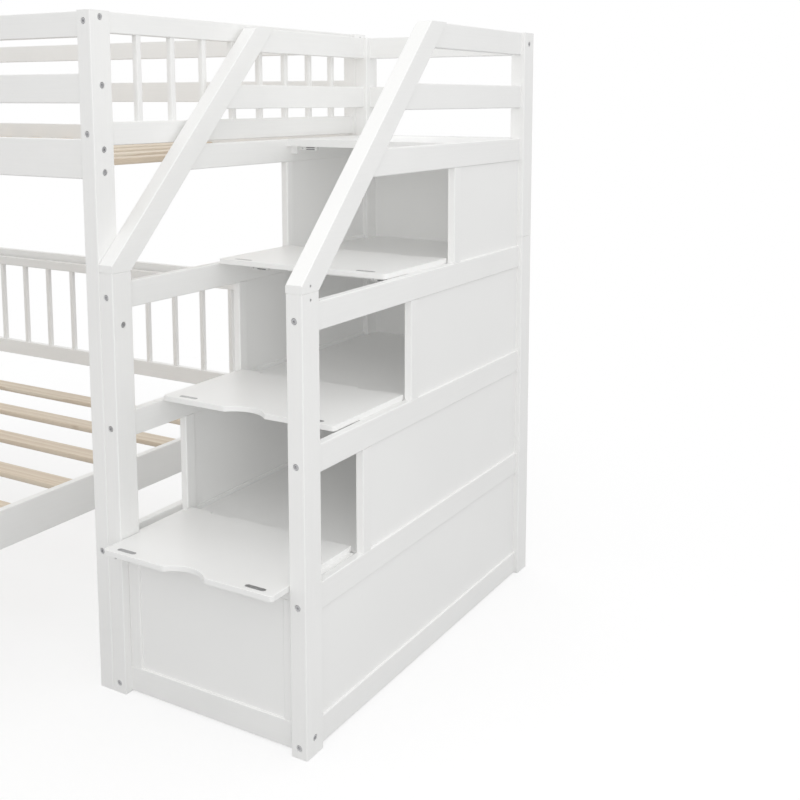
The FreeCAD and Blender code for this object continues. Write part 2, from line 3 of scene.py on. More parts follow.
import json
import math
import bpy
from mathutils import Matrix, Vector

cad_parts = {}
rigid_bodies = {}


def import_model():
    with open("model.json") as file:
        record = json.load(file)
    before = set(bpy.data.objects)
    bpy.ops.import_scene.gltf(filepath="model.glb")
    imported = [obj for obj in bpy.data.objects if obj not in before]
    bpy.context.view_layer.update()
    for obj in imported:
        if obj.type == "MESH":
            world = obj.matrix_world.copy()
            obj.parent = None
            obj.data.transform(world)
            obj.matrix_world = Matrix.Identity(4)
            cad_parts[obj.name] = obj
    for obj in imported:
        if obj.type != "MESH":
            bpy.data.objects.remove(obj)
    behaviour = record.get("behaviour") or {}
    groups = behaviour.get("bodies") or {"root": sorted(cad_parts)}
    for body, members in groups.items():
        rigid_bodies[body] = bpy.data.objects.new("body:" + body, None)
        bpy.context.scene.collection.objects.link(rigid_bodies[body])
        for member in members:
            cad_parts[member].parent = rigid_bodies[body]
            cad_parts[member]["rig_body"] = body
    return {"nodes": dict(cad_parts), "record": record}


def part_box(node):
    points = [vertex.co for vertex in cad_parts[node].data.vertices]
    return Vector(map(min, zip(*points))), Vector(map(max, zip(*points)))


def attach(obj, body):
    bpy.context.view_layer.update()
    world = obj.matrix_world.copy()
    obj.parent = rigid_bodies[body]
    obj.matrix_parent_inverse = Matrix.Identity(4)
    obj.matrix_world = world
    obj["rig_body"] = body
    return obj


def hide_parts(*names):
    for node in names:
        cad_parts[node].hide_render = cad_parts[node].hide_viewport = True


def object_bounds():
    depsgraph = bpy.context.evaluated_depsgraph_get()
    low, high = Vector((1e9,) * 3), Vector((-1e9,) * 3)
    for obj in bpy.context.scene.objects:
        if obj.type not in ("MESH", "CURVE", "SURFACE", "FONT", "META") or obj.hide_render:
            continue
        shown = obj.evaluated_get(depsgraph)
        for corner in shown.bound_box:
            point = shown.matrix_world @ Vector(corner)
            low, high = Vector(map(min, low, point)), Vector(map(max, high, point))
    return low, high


bl_info = {
    "name": "Bunk Bed with Stairs",
    "version": (1, 0, 0),
    "blender": (4, 5, 0),
    "location": "View3D > Sidebar > Bunk Bed",
    "description": "Finishes a bunk bed's timber, slats, fasteners and catches, and sets up a studio",
    "category": "Object",
}

import bmesh
import bpy
from bpy.props import FloatProperty, FloatVectorProperty, IntProperty, PointerProperty
from mathutils import Vector

for stray in list(bpy.data.objects):
    bpy.data.objects.remove(stray)

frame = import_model()
cad_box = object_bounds()

# The frame's nodes and directions

AXES = "XYZ"
UP = Vector((0.0, 0.0, 1.0))
FORWARD = Vector((0.0, -1.0, 0.0))
LIDS = {"lid_1": "first", "lid_2": "second", "lid_3": "third"}
SHEET_ENDINGS = ("_panel", "_panels", "_floor", "landing", "_tread_lid")
SPINDLE_NODES = ("left_end_spindles", "right_end_spindles", "headboard_spindles")
CATCH_NODES = ("second_lid_catches", "third_lid_catches", "landing_catches")

# Reading and shading meshes

MERGE_DISTANCE = 0.00001
KEPT_DIGITS = 4
RIM_SHARE = 0.9
SHARP_ANGLE = math.radians(40)

# Slats and spindles: the turn of a bar made along Z, and the axes that its width and thickness then lie on

BAR_TURNS = {0: (0.0, math.pi / 2, 0.0), 1: (-math.pi / 2, 0.0, 0.0), 2: (0.0, 0.0, 0.0)}
BAR_WIDTH_AXES = {0: 2, 1: 0, 2: 0}
BAR_THICKNESS_AXES = {0: 1, 1: 2, 2: 1}
BAR_EDGE_POINTS = 3

# Fasteners

HEAD_SIDES = 24
HEAD_HEIGHT_SHARE = 2 / 3
SHANK_SIDES = 12
SHANK_SHARE = 0.5
SOCKET_DEPTH_SHARE = 0.6
BOLT_SOCKET_SIDES = 6
SCREW_SOCKET_SIDES = 4
LEAF_SCREW_SHARES = (0.15, 0.85)

# Strike plates and catches

PLATE_END_SHARE = 0.499
PLATE_END_POINTS = 10
PLATE_HOLE_SIDES = 20
PLATE_HOLE_SHARE = 1.25
HOUSING_MATERIAL = 0
POLE_MATERIAL = 1
POLE_END_SHARE = 0.12
POLE_ROUNDING_SHARE = 1 / 8
CATCH_SCREW_SHARE = 0.14
BLOCK_EDGE_SEGMENTS = 3

# Stage

FLOOR_REACH = 12.0
FLOOR_GAP = 0.0005
FLOOR_LIFT = 0.65
FADE_START_SHARE = 1.15
FADE_END_SHARE = 2.2
KEY_LAMP_AWAY = Vector((2.3, -3.25, 1.05))
FILL_LAMP_AWAY = Vector((3.2, -2.05, 2.95))
BACK_LAMP_AWAY = Vector((-2.6, 4.4, 2.0))
FRONT_LAMP_SIZE = 2.0
BACK_LAMP_SIZE = 3.0
SENSOR_WIDTH = 36.0


# Settings


class PaintSettings(bpy.types.PropertyGroup):
    """The white paint on the timber and the boards."""

    colour: FloatVectorProperty(
        name="Colour", description="Colour of the paint", subtype="COLOR",
        default=(0.88, 0.88, 0.87), min=0.0, max=1.0,
    )
    mottle: FloatProperty(
        name="Mottle", description="Share by which the paint's colour varies", subtype="FACTOR",
        default=0.025, min=0.0, max=1.0,
    )
    roughness: FloatProperty(
        name="Roughness", description="Roughness of the satin paint", subtype="FACTOR",
        default=0.42, min=0.0, max=1.0,
    )
    grain_pitch: FloatProperty(
        name="Grain Pitch", description="Distance between the grain lines under the paint", unit="LENGTH",
        default=0.004, min=0.0005,
    )
    grain_depth: FloatProperty(
        name="Grain Depth", description="Depth of the grain that shows through the paint", unit="LENGTH",
        default=0.00012, min=0.0,
    )


class PineSettings(bpy.types.PropertyGroup):
    """The bare pine slats, and the edges that spindles share with them."""

    pale: FloatVectorProperty(
        name="Early Wood", description="Colour of the pale wood", subtype="COLOR",
        default=(0.80, 0.72, 0.60), min=0.0, max=1.0,
    )
    dark: FloatVectorProperty(
        name="Late Wood", description="Colour of the darker rings", subtype="COLOR",
        default=(0.66, 0.55, 0.43), min=0.0, max=1.0,
    )
    knot: FloatVectorProperty(
        name="Knots", description="Colour of the knots", subtype="COLOR",
        default=(0.36, 0.24, 0.15), min=0.0, max=1.0,
    )
    ring_pitch: FloatProperty(
        name="Ring Pitch", description="Distance between the growth rings on a board's face", unit="LENGTH",
        default=0.011, min=0.001,
    )
    edge_radius: FloatProperty(
        name="Edge Radius", description="Rounding of the long edges of slats and spindles", unit="LENGTH",
        default=0.0025, min=0.0,
    )
    seed: IntProperty(name="Seed", description="Seed of the differences between boards", default=7, min=0)


class FastenerSettings(bpy.types.PropertyGroup):
    """Socket-head bolts, small screws and the steel of the hinges and plates."""

    steel: FloatVectorProperty(
        name="Steel", description="Colour of the zinc-plated steel", subtype="COLOR",
        default=(0.54, 0.54, 0.55), min=0.0, max=1.0,
    )
    chamfer: FloatProperty(
        name="Chamfer", description="Chamfer round a head, as a share of its radius", subtype="FACTOR",
        default=0.16, min=0.0, max=0.9,
    )
    head_height: FloatProperty(
        name="Head Height", description="Height of a bolt's head", unit="LENGTH", default=0.004, min=0.0005,
    )
    socket: FloatProperty(
        name="Socket", description="Radius of the socket, as a share of the head's radius",
        subtype="FACTOR", default=0.46, min=0.05, max=0.9,
    )
    screw_radius: FloatProperty(
        name="Screw Radius", description="Radius of the heads of the small screws", unit="LENGTH",
        default=0.0024, min=0.0005,
    )
    screw_height: FloatProperty(
        name="Screw Height", description="Height of the heads of the small screws", unit="LENGTH",
        default=0.0008, min=0.0001,
    )
    screw_length: FloatProperty(
        name="Screw Length", description="Length of the small screws' shanks", unit="LENGTH",
        default=0.007, min=0.0005,
    )
    seed: IntProperty(name="Seed", description="Seed of how far each head is turned", default=3, min=0)


class CatchSettings(bpy.types.PropertyGroup):
    """The magnetic catches under the boards."""

    housing: FloatVectorProperty(
        name="Housing", description="Colour of the plastic housing", subtype="COLOR",
        default=(0.74, 0.74, 0.73), min=0.0, max=1.0,
    )
    pole: FloatVectorProperty(
        name="Pole Pieces", description="Colour of the steel pole pieces", subtype="COLOR",
        default=(0.09, 0.09, 0.095), min=0.0, max=1.0,
    )
    rounding: FloatProperty(
        name="Rounding", description="Rounding of the housing's edges", unit="LENGTH",
        default=0.0012, min=0.0,
    )
    pole_length: FloatProperty(
        name="Pole Length", description="Length of a pole piece", unit="LENGTH", default=0.026, min=0.001,
    )
    pole_thickness: FloatProperty(
        name="Pole Thickness", description="Thickness of a pole piece", unit="LENGTH",
        default=0.0018, min=0.0002,
    )
    pole_gap: FloatProperty(
        name="Pole Gap", description="Distance between the two pole pieces", unit="LENGTH",
        default=0.0028, min=0.0002,
    )
    pole_height: FloatProperty(
        name="Pole Height", description="Height of the poles and the screw above the housing's bottom",
        unit="LENGTH", default=0.005, min=0.001,
    )
    pole_proud: FloatProperty(
        name="Pole Reach", description="How far the pole pieces stand out of the housing", unit="LENGTH",
        default=0.0008, min=0.0,
    )


class StageSettings(bpy.types.PropertyGroup):
    """The camera, the light and the floor."""

    camera_place: FloatVectorProperty(
        name="Camera", description="Where the camera stands", subtype="TRANSLATION", unit="LENGTH",
        default=(2.4876, -1.7984, 1.3537),
    )
    camera_turn: FloatProperty(
        name="Turn", description="How far the camera is turned to the left", subtype="ANGLE",
        default=math.radians(30.39),
    )
    camera_dip: FloatProperty(
        name="Dip", description="How far the camera looks down", subtype="ANGLE",
        default=math.radians(7.357),
    )
    lens: FloatProperty(
        name="Lens", description="Focal length on a 36 mm frame, in millimetres", default=49.09, min=1.0,
    )
    lens_shift: FloatProperty(
        name="Shift", description="Vertical shift of the lens, as a share of the frame", default=-0.2,
    )
    sky: FloatProperty(
        name="Sky", description="Strength of the even light from all sides", default=0.95, min=0.0,
    )
    key_lamp: FloatProperty(
        name="Key Lamp", description="Power of the lamp behind the camera", subtype="POWER",
        default=19.0, min=0.0,
    )
    fill_lamp: FloatProperty(
        name="Fill Lamp", description="Power of the high lamp on the right, which casts no shadow",
        subtype="POWER", default=40.0, min=0.0,
    )
    back_lamp: FloatProperty(
        name="Back Lamp", description="Power of the lamp behind the bed", subtype="POWER",
        default=12.0, min=0.0,
    )
    floor: FloatVectorProperty(
        name="Floor", description="Colour of the floor as it is seen", subtype="COLOR",
        default=(0.96, 0.96, 0.96), min=0.0, max=1.0,
    )
    floor_bounce: FloatVectorProperty(
        name="Floor Bounce", description="Colour of the light that the floor throws back", subtype="COLOR",
        default=(0.4, 0.4, 0.4), min=0.0, max=1.0,
    )


SETTINGS = {
    "bunk_paint": PaintSettings,
    "bunk_pine": PineSettings,
    "bunk_fasteners": FastenerSettings,
    "bunk_catches": CatchSettings,
    "bunk_stage": StageSettings,
}


# Reading the frame


def islands(node):
    """The separate solids of a node, each as a list of its points."""
    mesh = bmesh.new()
    mesh.from_mesh(frame["nodes"][node].data)
    bmesh.ops.remove_doubles(mesh, verts=mesh.verts, dist=MERGE_DISTANCE)
    waiting = set(mesh.verts)
    found = []
    for first in mesh.verts:
        if first not in waiting:
            continue
        waiting.remove(first)
        group = [first]
        for vert in group:
            for edge in vert.link_edges:
                other = edge.other_vert(vert)
                if other in waiting:
                    waiting.remove(other)
                    group.append(other)
        found.append([vert.co.copy() for vert in group])
    mesh.free()
    return found


def corners(points):
    """The lowest and highest corner of some points."""
    low = Vector([min(point[axis] for point in points) for axis in range(3)])
    high = Vector([max(point[axis] for point in points) for axis in range(3)])
    return low, high


def boxes(node):
    """The corners of each solid of a node, in the order of their lowest corners."""
    found = [corners(points) for points in islands(node)]
    return sorted(found, key=lambda box: tuple(round(value, KEPT_DIGITS) for value in box[0]))


def long_axis(low, high):
    size = high - low
    return max(range(3), key=lambda axis: size[axis])


def body_of_node(node):
    return frame["nodes"][node]["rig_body"]


# Node trees


def add_node(tree, kind, values=None, **options):
    """Adds a node, sets its options, and fills its inputs with values or with other nodes' outputs."""
    node = tree.nodes.new(kind)
    for option, value in options.items():
        setattr(node, option, value)
    for key, value in (values or {}).items():
        if isinstance(value, bpy.types.NodeSocket):
            tree.links.new(value, node.inputs[key])
        else:
            node.inputs[key].default_value = value
    return node


def add_math(tree, operation, *values):
    node = add_node(tree, "ShaderNodeMath", dict(enumerate(values)), operation=operation)
    return node.outputs[0]


def add_half(tree, value):
    return add_math(tree, "MULTIPLY", value, 0.5)


def add_negative(tree, value):
    return add_math(tree, "MULTIPLY", value, -1.0)


def add_vector(tree, **parts):
    """A vector with the given X, Y and Z, which are zero where they are left out."""
    return add_node(tree, "ShaderNodeCombineXYZ", parts).outputs[0]


def new_tree(name, inputs):
    """A Geometry Nodes tree with named inputs; returns it and its input sockets by name."""
    tree = bpy.data.node_groups.new(name, "GeometryNodeTree")
    tree.interface.new_socket("Geometry", in_out="OUTPUT", socket_type="NodeSocketGeometry")
    for label, kind in inputs.items():
        tree.interface.new_socket(label, in_out="INPUT", socket_type="NodeSocket" + kind)
    return tree, tree.nodes.new("NodeGroupInput").outputs


def end_tree(tree, geometry, material):
    """Makes instances real, smooths all but the sharp edges, sets the material and ends the tree."""
    real = add_node(tree, "GeometryNodeRealizeInstances", {"Geometry": geometry})
    smooth = add_node(tree, "GeometryNodeSetShadeSmooth", {0: real.outputs[0]}, domain="FACE")
    angle = add_node(tree, "GeometryNodeInputMeshEdgeAngle").outputs["Unsigned Angle"]
    sharp = add_node(tree, "FunctionNodeCompare", {0: angle, 1: SHARP_ANGLE}, operation="GREATER_THAN")
    edges = add_node(
        tree, "GeometryNodeSetShadeSmooth",
        {0: smooth.outputs[0], "Selection": sharp.outputs[0], "Shade Smooth": False}, domain="EDGE",
    )
    painted = add_node(
        tree, "GeometryNodeSetMaterial", {"Geometry": edges.outputs[0], "Material": material},
    )
    add_node(tree, "NodeGroupOutput", {0: painted.outputs[0]})


def piece_from_tree(name, tree, values, mesh=None):
    """Runs a tree on a mesh and keeps what it makes as a plain mesh in a new object."""
    piece = bpy.data.objects.new(name, mesh or bpy.data.meshes.new(name))
    bpy.context.scene.collection.objects.link(piece)
    modifier = piece.modifiers.new(tree.name, "NODES")
    modifier.node_group = tree
    for item in tree.interface.items_tree:
        if item.item_type == "SOCKET" and item.name in values:
            modifier[item.identifier] = values[item.name]
    bpy.context.view_layer.update()
    evaluated = piece.evaluated_get(bpy.context.evaluated_depsgraph_get())
    made = bpy.data.meshes.new_from_object(evaluated)
    piece.modifiers.remove(modifier)
    piece.data = made
    made.name = name
    return piece


def points_mesh(name, places):
    """A mesh of loose points, each with the direction that it faces."""
    mesh = bpy.data.meshes.new(name)
    mesh.from_pydata([place for place, outward in places], [], [])
    facing = mesh.attributes.new("outward", "FLOAT_VECTOR", "POINT")
    for index, (place, outward) in enumerate(places):
        facing.data[index].vector = outward
    return mesh


def rounded_bar(tree, width, height, radius, points, start, end):
    """A straight bar between two points along Z, with rounded long edges and closed ends."""
    outline = add_node(
        tree, "GeometryNodeCurvePrimitiveQuadrilateral", {"Width": width, "Height": height},
        mode="RECTANGLE",
    )
    rounded = add_node(
        tree, "GeometryNodeFilletCurve",
        {"Curve": outline.outputs[0], "Count": points, "Radius": radius, "Limit Radius": True}, mode="POLY",
    )
    line = add_node(tree, "GeometryNodeCurvePrimitiveLine", {"Start": start, "End": end}, mode="POINTS")
    bar = add_node(
        tree, "GeometryNodeCurveToMesh",
        {"Curve": line.outputs[0], "Profile Curve": rounded.outputs[0], "Fill Caps": True},
    )
    return bar.outputs[0]


def bar_row_tree():
    """A row of straight bars with rounded long edges, each with its own random number."""
    tree, given = new_tree("bar_row", {
        "Count": "Int", "First": "Vector", "Step": "Vector", "Turn": "Vector", "Length": "Float",
        "Width": "Float", "Thickness": "Float", "Edge Radius": "Float", "Seed": "Int",
        "Material": "Material",
    })
    row = add_node(
        tree, "GeometryNodeMeshLine",
        {"Count": given["Count"], "Start Location": given["First"], "Offset": given["Step"]},
        mode="OFFSET", count_mode="TOTAL",
    )
    half = add_half(tree, given["Length"])
    bar = rounded_bar(
        tree, given["Width"], given["Thickness"], given["Edge Radius"], BAR_EDGE_POINTS,
        add_vector(tree, Z=add_negative(tree, half)), add_vector(tree, Z=half),
    )
    placed = add_node(
        tree, "GeometryNodeInstanceOnPoints",
        {"Points": row.outputs[0], "Instance": bar, "Rotation": given["Turn"]},
    )
    draw = add_node(tree, "FunctionNodeRandomValue", {"Seed": given["Seed"]}, data_type="FLOAT")
    marked = add_node(
        tree, "GeometryNodeStoreNamedAttribute",
        {"Geometry": placed.outputs[0], "Name": "board", "Value": draw.outputs[1]},
        data_type="FLOAT", domain="INSTANCE",
    )
    end_tree(tree, marked.outputs[0], given["Material"])
    return tree


def chamfered_head(tree, given):
    """A bolt's head with its top at zero and a chamfer round it."""
    wall = add_math(tree, "SUBTRACT", given["Head Height"], given["Chamfer"])
    drum = add_node(
        tree, "GeometryNodeMeshCylinder",
        {"Vertices": HEAD_SIDES, "Radius": given["Head Radius"], "Depth": wall},
    )
    raised = add_node(
        tree, "GeometryNodeExtrudeMesh",
        {"Mesh": drum.outputs["Mesh"], "Selection": drum.outputs["Top"], "Offset Scale": given["Chamfer"],
         "Individual": False},
        mode="FACES",
    )
    inner = add_math(tree, "SUBTRACT", given["Head Radius"], given["Chamfer"])
    chamfered = add_node(
        tree, "GeometryNodeScaleElements",
        {"Geometry": raised.outputs["Mesh"], "Selection": raised.outputs["Top"],
         "Scale": add_math(tree, "DIVIDE", inner, given["Head Radius"])},
        domain="FACE",
    )
    below = add_math(tree, "ADD", add_half(tree, wall), given["Chamfer"])
    head = add_node(
        tree, "GeometryNodeTransform",
        {"Geometry": chamfered.outputs[0], "Translation": add_vector(tree, Z=add_negative(tree, below))},
    )
    return head.outputs[0]


def shank_under_head(tree, given):
    """A bolt's shank, from the underside of its head down."""
    shank = add_node(
        tree, "GeometryNodeMeshCylinder",
        {"Vertices": SHANK_SIDES, "Radius": given["Shank Radius"], "Depth": given["Shank Length"]},
    )
    below = add_math(tree, "ADD", given["Head Height"], add_half(tree, given["Shank Length"]))
    sunk = add_node(
        tree, "GeometryNodeTransform",
        {"Geometry": shank.outputs["Mesh"], "Translation": add_vector(tree, Z=add_negative(tree, below))},
    )
    return sunk.outputs[0]


def socket_head_tree():
    """Socket-head bolts or screws, one at each point, facing the point's own direction."""
    tree, given = new_tree("socket_heads", {
        "Geometry": "Geometry", "Head Radius": "Float", "Head Height": "Float", "Chamfer": "Float",
        "Socket Radius": "Float", "Socket Depth": "Float", "Socket Sides": "Int", "Shank Radius": "Float",
        "Shank Length": "Float", "Seed": "Int", "Material": "Material",
    })
    head = chamfered_head(tree, given)
    socket = add_node(
        tree, "GeometryNodeMeshCylinder",
        {"Vertices": given["Socket Sides"], "Radius": given["Socket Radius"],
         "Depth": add_math(tree, "MULTIPLY", given["Socket Depth"], 2.0)},
    )
    holed = add_node(
        tree, "GeometryNodeMeshBoolean", {"Mesh 1": head, "Mesh 2": socket.outputs["Mesh"]},
        operation="DIFFERENCE",
    )
    shank = shank_under_head(tree, given)
    whole = add_node(tree, "GeometryNodeJoinGeometry")
    tree.links.new(holed.outputs["Mesh"], whole.inputs[0])
    tree.links.new(shank, whole.inputs[0])
    outward = add_node(
        tree, "GeometryNodeInputNamedAttribute", {"Name": "outward"}, data_type="FLOAT_VECTOR",
    )
    facing = add_node(
        tree, "FunctionNodeAlignRotationToVector", {"Vector": outward.outputs["Attribute"]}, axis="Z",
    )
    placed = add_node(
        tree, "GeometryNodeInstanceOnPoints",
        {"Points": given["Geometry"], "Instance": whole.outputs[0], "Rotation": facing.outputs[0]},
    )
    turn = add_node(
        tree, "FunctionNodeRandomValue", {3: math.tau, "Seed": given["Seed"]}, data_type="FLOAT",
    )
    spin = add_vector(tree, Z=turn.outputs[1])
    turned = add_node(
        tree, "GeometryNodeRotateInstances",
        {"Instances": placed.outputs[0], "Rotation": spin, "Local Space": True},
    )
    end_tree(tree, turned.outputs[0], given["Material"])
    return tree


def strike_plate_tree():
    """Steel plates with round ends and two sunk seats for screws, one plate at each point."""
    tree, given = new_tree("strike_plates", {
        "Geometry": "Geometry", "Length": "Float", "Width": "Float", "Thickness": "Float",
        "Hole Radius": "Float", "Hole Spread": "Float", "Material": "Material",
    })
    plate = rounded_bar(
        tree, given["Length"], given["Width"], add_math(tree, "MULTIPLY", given["Width"], PLATE_END_SHARE),
        PLATE_END_POINTS, add_vector(tree, Z=add_negative(tree, given["Thickness"])), (0.0, 0.0, 0.0),
    )
    half = add_half(tree, given["Hole Spread"])
    holes = add_node(
        tree, "GeometryNodeMeshLine",
        {"Count": 2, "Start Location": add_vector(tree, X=add_negative(tree, half)),
         "Offset": add_vector(tree, X=given["Hole Spread"])},
        mode="OFFSET", count_mode="TOTAL",
    )
    drill = add_node(
        tree, "GeometryNodeMeshCylinder",
        {"Vertices": PLATE_HOLE_SIDES, "Radius": given["Hole Radius"], "Depth": given["Thickness"]},
    )
    drills = add_node(
        tree, "GeometryNodeInstanceOnPoints",
        {"Points": holes.outputs[0], "Instance": drill.outputs["Mesh"]},
    )
    solid_drills = add_node(tree, "GeometryNodeRealizeInstances", {"Geometry": drills.outputs[0]})
    holed = add_node(
        tree, "GeometryNodeMeshBoolean", {"Mesh 1": plate, "Mesh 2": solid_drills.outputs[0]},
        operation="DIFFERENCE",
    )
    placed = add_node(
        tree, "GeometryNodeInstanceOnPoints",
        {"Points": given["Geometry"], "Instance": holed.outputs["Mesh"]},
    )
    end_tree(tree, placed.outputs[0], given["Material"])
    return tree


# Materials


GRAIN_TURNS = {"X": (0.0, 0.0, 0.0), "Y": (0.0, 0.0, math.pi / 2), "Z": (0.0, -math.pi / 2, 0.0)}


def new_material(name):
    """A new material with a Principled shader; returns the material, its tree and the shader."""
    material = bpy.data.materials.new(name)
    material.use_nodes = True
    return material, material.node_tree, material.node_tree.nodes["Principled BSDF"]


def darker(colour, share):
    return tuple(value * (1.0 - share) for value in colour)


def paler(colour, times):
    return tuple(value * times for value in colour)


def add_place(tree):
    return add_node(tree, "ShaderNodeTexCoord").outputs["Object"]


def add_turn(tree, turn):
    """Object coordinates turned so that X runs along the grain."""
    values = {"Vector": add_place(tree), "Rotation": turn}
    return add_node(tree, "ShaderNodeMapping", values, vector_type="TEXTURE").outputs[0]


def add_scale(tree, place, scale):
    """Coordinates scaled along each axis; below 1 a pattern is drawn out along it."""
    return add_node(tree, "ShaderNodeMapping", {"Vector": place, "Scale": scale}).outputs[0]


def add_noise(tree, place, scale, detail, roughness=0.5):
    values = {"Vector": place, "Scale": scale, "Detail": detail, "Roughness": roughness}
    return add_node(tree, "ShaderNodeTexNoise", values).outputs[0]


def add_ramp(tree, value, *stops):
    """A colour ramp with stops of (position, colour)."""
    node = add_node(tree, "ShaderNodeValToRGB", {0: value})
    elements = node.color_ramp.elements
    while len(elements) < len(stops):
        elements.new(1.0)
    for element, (position, colour) in zip(elements, stops):
        element.position = position
        element.color = (*colour, 1.0)
    return node.outputs["Color"]


def add_range(tree, value, low, high):
    """Spreads a value between 0 and 1 over another range."""
    node = add_node(tree, "ShaderNodeMapRange", {"Value": value, "To Min": low, "To Max": high})
    return node.outputs["Result"]


def add_finish(tree, shader, colour, roughness):
    tree.links.new(colour, shader.inputs["Base Color"])
    tree.links.new(roughness, shader.inputs["Roughness"])


def add_relief(tree, shader, height, strength, depth):
    bump = add_node(tree, "ShaderNodeBump", {"Strength": strength, "Distance": depth, "Height": height})
    tree.links.new(bump.outputs[0], shader.inputs["Normal"])


def timber_paint(name, turn):
    """Satin white paint over timber, with the grain showing faintly through it."""
    grain_stretch = 0.03
    grain_detail = 3.0
    grain_roughness = 0.55
    grain_share = 0.4
    cloud_scale = 5.0
    cloud_detail = 3.0
    cloud_share = 0.6
    stipple_scale = 900.0
    stipple_detail = 1.0
    stipple_share = 0.25
    dull_stop = 0.35
    clean_stop = 0.6
    gloss_spread = 0.05
    relief_strength = 0.5
    look = bpy.context.scene.bunk_paint
    material, tree, shader = new_material(name)
    along = add_scale(tree, add_turn(tree, turn), (grain_stretch, 1.0, 1.0))
    grain = add_noise(tree, along, 1.0 / look.grain_pitch, grain_detail, grain_roughness)
    place = add_place(tree)
    cloud = add_noise(tree, place, cloud_scale, cloud_detail)
    stipple = add_noise(tree, place, stipple_scale, stipple_detail)
    clouded = add_math(tree, "MULTIPLY", cloud, cloud_share)
    shade = add_math(tree, "MULTIPLY_ADD", grain, grain_share, clouded)
    colour = add_ramp(tree, shade, (dull_stop, darker(look.colour, look.mottle)), (clean_stop, look.colour))
    gloss = add_range(tree, shade, look.roughness - gloss_spread, look.roughness + gloss_spread)
    add_finish(tree, shader, colour, gloss)
    height = add_math(tree, "MULTIPLY_ADD", stipple, stipple_share, grain)
    add_relief(tree, shader, height, relief_strength, look.grain_depth)
    return material


def sheet_paint(name):
    """Sprayed white paint on flat boards, smoother than on the timber."""
    cloud_scale = 3.5
    cloud_detail = 4.0
    stipple_scale = 650.0
    stipple_detail = 2.0
    stipple_depth = 0.00008
    mottle_share = 0.6
    dull_stop = 0.35
    clean_stop = 0.62
    gloss_spread = 0.1
    relief_strength = 0.25
    look = bpy.context.scene.bunk_paint
    material, tree, shader = new_material(name)
    place = add_place(tree)
    cloud = add_noise(tree, place, cloud_scale, cloud_detail)
    stipple = add_noise(tree, place, stipple_scale, stipple_detail)
    dull = darker(look.colour, look.mottle * mottle_share)
    colour = add_ramp(tree, cloud, (dull_stop, dull), (clean_stop, look.colour))
    gloss = add_range(tree, cloud, look.roughness - gloss_spread, look.roughness)
    add_finish(tree, shader, colour, gloss)
    add_relief(tree, shader, stipple, relief_strength, stipple_depth)
    return material


def pine_rings(tree, place):
    """Growth rings as bands across a board, drawn out along it."""
    waves_per_pitch = 0.16
    return add_node(
        tree, "ShaderNodeTexWave",
        {"Vector": place, "Scale": waves_per_pitch / bpy.context.scene.bunk_pine.ring_pitch,
         "Distortion": 9.0, "Detail": 2.0, "Detail Scale": 1.2, "Detail Roughness": 0.5},
        bands_direction="Y", wave_profile="SAW",
    ).outputs[1]


def pine_knots(tree, place):
    """How far each point is in a knot: nothing outside one, nearly whole in its middle."""
    knot_stretch = (0.5, 1.0, 0.3)
    knot_scale = 5.0
    heart_radius = 0.03
    knot_radius = 0.08
    heart_share = 0.8
    distance = add_node(
        tree, "ShaderNodeTexVoronoi",
        {"Vector": add_scale(tree, place, knot_stretch), "Scale": knot_scale, "Randomness": 1.0},
    ).outputs["Distance"]
    return add_node(
        tree, "ShaderNodeMapRange",
        {"Value": distance, "From Min": heart_radius, "From Max": knot_radius,
         "To Min": heart_share, "To Max": 0.0},
    ).outputs["Result"]


def bare_pine(name, turn):
    """Planed pine with growth rings, fine grain and a few knots, different on each board."""
    board_spacing = 37.0
    grain_stretch = 0.06
    drift_scale = 14.0
    drift_detail = 2.0
    fibre_scale = 620.0
    fibre_detail = 3.0
    fibre_roughness = 0.6
    ring_share = 0.45
    drift_share = 0.4
    fibre_share = 0.3
    board_share = 0.16
    pale_stop = 0.3
    dark_stop = 0.95
    smooth_gloss = 0.5
    rough_gloss = 0.68
    ring_relief_share = 0.35
    relief_strength = 0.4
    relief_depth = 0.0003
    look = bpy.context.scene.bunk_pine
    material, tree, shader = new_material(name)
    board = add_node(tree, "ShaderNodeAttribute", attribute_name="board").outputs["Fac"]
    offset = add_math(tree, "MULTIPLY", board, board_spacing)
    away = add_vector(tree, X=offset, Y=offset, Z=offset)
    turned = add_turn(tree, turn)
    own = add_node(tree, "ShaderNodeVectorMath", {0: turned, 1: away}, operation="ADD").outputs[0]
    along = add_scale(tree, own, (grain_stretch, 1.0, 1.0))
    drift = add_noise(tree, along, drift_scale, drift_detail)
    rings = pine_rings(tree, along)
    fibre = add_noise(tree, along, fibre_scale, fibre_detail, fibre_roughness)
    wood = add_math(tree, "MULTIPLY", fibre, fibre_share)
    for layer, share in ((drift, drift_share), (rings, ring_share), (board, board_share)):
        wood = add_math(tree, "MULTIPLY_ADD", layer, share, wood)
    clear = add_ramp(tree, wood, (pale_stop, look.pale), (dark_stop, look.dark))
    colour = add_node(
        tree, "ShaderNodeMix", {0: pine_knots(tree, own), 6: clear, 7: (*look.knot, 1.0)}, data_type="RGBA",
    ).outputs[2]
    add_finish(tree, shader, colour, add_range(tree, fibre, smooth_gloss, rough_gloss))
    height = add_math(tree, "MULTIPLY_ADD", rings, ring_relief_share, fibre)
    add_relief(tree, shader, height, relief_strength, relief_depth)
    return material


